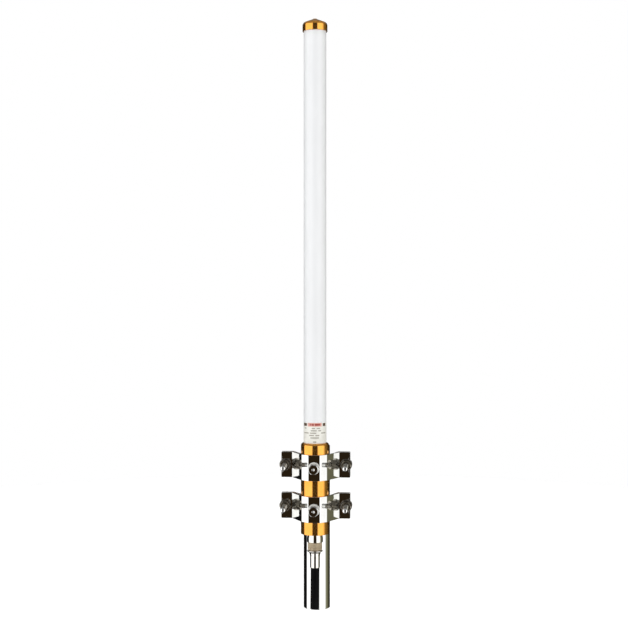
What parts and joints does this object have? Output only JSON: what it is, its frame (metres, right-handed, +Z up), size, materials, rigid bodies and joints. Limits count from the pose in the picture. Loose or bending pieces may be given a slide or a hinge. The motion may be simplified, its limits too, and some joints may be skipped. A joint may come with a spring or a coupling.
{
  "type": "omnidirectional antenna",
  "caption": "Omnidirectional stick antenna: white radome tube, gold base sleeve and cap, clamped beside a short mast tube by polished brackets, with a coaxial plug and feeder stub below.",
  "frame": {"origin": "on the mast tube's axis at its lower end, where a mast or stub pole holds the antenna", "axes": "+Z up along the mast and the antenna, -Y towards the antenna and its clamp nuts, +X to the right as seen from the front"},
  "size_m": [0.087, 0.0831, 0.7062],
  "materials": {
    "mast_tube": "bright polished tube",
    "radome": "painted fibreglass tube, satin",
    "gold_anodised": "polished and gold anodised",
    "rubber": "moulded, matt",
    "label": "blank vinyl wrap with one red stripe",
    "nickel": "nickel plated brass",
    "ptfe": "smooth, slightly translucent",
    "brass": "drawn, bright",
    "copper": "bare copper, drawn",
    "acetal": "machined, satin",
    "foam": "closed-cell foam",
    "cable_jacket": "extruded black jacket, satin",
    "stainless": "polished stainless sheet",
    "fastener": "stainless fasteners"
  },
  "bodies": {
    "mast": {"mast_stub": "mast_tube"},
    "antenna": {"radome_tube": "radome", "top_cap": "gold_anodised", "cap_gasket": "rubber", "base_sleeve": "gold_anodised", "sleeve_seal": "rubber", "label_wrap": "label", "base_plug": "gold_anodised", "socket_lock_ring": "nickel", "socket_body": "nickel", "socket_gasket": "rubber", "socket_insulator": "ptfe", "socket_contact": "brass", "feed_coax": "copper", "feed_core": "copper", "choke_sleeve": "brass", "lower_radiator": "brass", "middle_radiator": "brass", "upper_radiator": "brass", "coil_formers": "acetal", "phasing_coils": "copper", "foam_spacers": "foam"},
    "lower_rear_jaw": {"lower_rear_bracket": "stainless", "lower_bolts": "fastener", "lower_rear_washers": "fastener"},
    "lower_front_jaw": {"lower_front_bracket": "stainless", "lower_front_washers": "fastener", "lower_lock_washers": "fastener", "lower_grip_washer": "fastener"},
    "lower_left_nut": {"lower_left_nut": "stainless"},
    "lower_right_nut": {"lower_right_nut": "stainless"},
    "lower_grip_bolt": {"lower_grip_bolt": "stainless"},
    "lower_jam_nut": {"lower_jam_nut": "stainless"},
    "upper_rear_jaw": {"upper_rear_bracket": "stainless", "upper_bolts": "fastener", "upper_rear_washers": "fastener"},
    "upper_front_jaw": {"upper_front_bracket": "stainless", "upper_front_washers": "fastener", "upper_lock_washers": "fastener", "upper_grip_washer": "fastener"},
    "upper_left_nut": {"upper_left_nut": "stainless"},
    "upper_right_nut": {"upper_right_nut": "stainless"},
    "upper_grip_bolt": {"upper_grip_bolt": "stainless"},
    "upper_jam_nut": {"upper_jam_nut": "stainless"},
    "plug": {"plug_body": "nickel", "plug_gasket": "rubber", "plug_insulator": "ptfe", "plug_pin": "brass", "plug_gland_nut": "nickel", "plug_gland_gasket": "rubber", "feeder_cable": "cable_jacket", "feeder_dielectric": "ptfe", "feeder_core": "copper"},
    "coupling_nut": {"plug_coupling_nut": "nickel"}
  },
  "joints": [
    {"name": "antenna_slide", "type": "slide", "parent": "mast", "child": "antenna", "axis": [0, 0, 1], "range_m": [-0.012, 0.014]},
    {"name": "lower_clamp_slide", "type": "slide", "parent": "mast", "child": "lower_rear_jaw", "axis": [0, 0, 1], "range_m": [-0.014, 0.016]},
    {"name": "lower_jaw_opening", "type": "slide", "parent": "lower_rear_jaw", "child": "lower_front_jaw", "axis": [0, -1, 0], "range_m": [0, 0.018]},
    {"name": "lower_left_nut_turn", "type": "hinge", "parent": "lower_front_jaw", "child": "lower_left_nut", "pos_m": [-0.0365, -0.02658, 0.1263], "axis": [0, -1, 0], "continuous": true},
    {"name": "lower_right_nut_turn", "type": "hinge", "parent": "lower_front_jaw", "child": "lower_right_nut", "pos_m": [0.0365, -0.02658, 0.1263], "axis": [0, -1, 0], "continuous": true},
    {"name": "lower_grip_bolt_turn", "type": "hinge", "parent": "lower_front_jaw", "child": "lower_grip_bolt", "pos_m": [0, -0.05187, 0.1263], "axis": [0, -1, 0], "continuous": true},
    {"name": "lower_jam_nut_turn", "type": "hinge", "parent": "lower_front_jaw", "child": "lower_jam_nut", "pos_m": [0, -0.05318, 0.1263], "axis": [0, -1, 0], "continuous": true},
    {"name": "upper_clamp_slide", "type": "slide", "parent": "mast", "child": "upper_rear_jaw", "axis": [0, 0, 1], "range_m": [-0.016, 0.005]},
    {"name": "upper_jaw_opening", "type": "slide", "parent": "upper_rear_jaw", "child": "upper_front_jaw", "axis": [0, -1, 0], "range_m": [0, 0.018]},
    {"name": "upper_left_nut_turn", "type": "hinge", "parent": "upper_front_jaw", "child": "upper_left_nut", "pos_m": [-0.0365, -0.02658, 0.1753], "axis": [0, -1, 0], "continuous": true},
    {"name": "upper_right_nut_turn", "type": "hinge", "parent": "upper_front_jaw", "child": "upper_right_nut", "pos_m": [0.0365, -0.02658, 0.1753], "axis": [0, -1, 0], "continuous": true},
    {"name": "upper_grip_bolt_turn", "type": "hinge", "parent": "upper_front_jaw", "child": "upper_grip_bolt", "pos_m": [0, -0.05187, 0.1753], "axis": [0, -1, 0], "continuous": true},
    {"name": "upper_jam_nut_turn", "type": "hinge", "parent": "upper_front_jaw", "child": "upper_jam_nut", "pos_m": [0, -0.05318, 0.1753], "axis": [0, -1, 0], "continuous": true},
    {"name": "plug_pull", "type": "slide", "parent": "antenna", "child": "plug", "axis": [0, 0, -1], "range_m": [0, 0.02]},
    {"name": "coupling_nut_turn", "type": "hinge", "parent": "plug", "child": "coupling_nut", "pos_m": [0, -0.03288, 0.08], "axis": [0, 0, 1], "continuous": true}
  ]
}
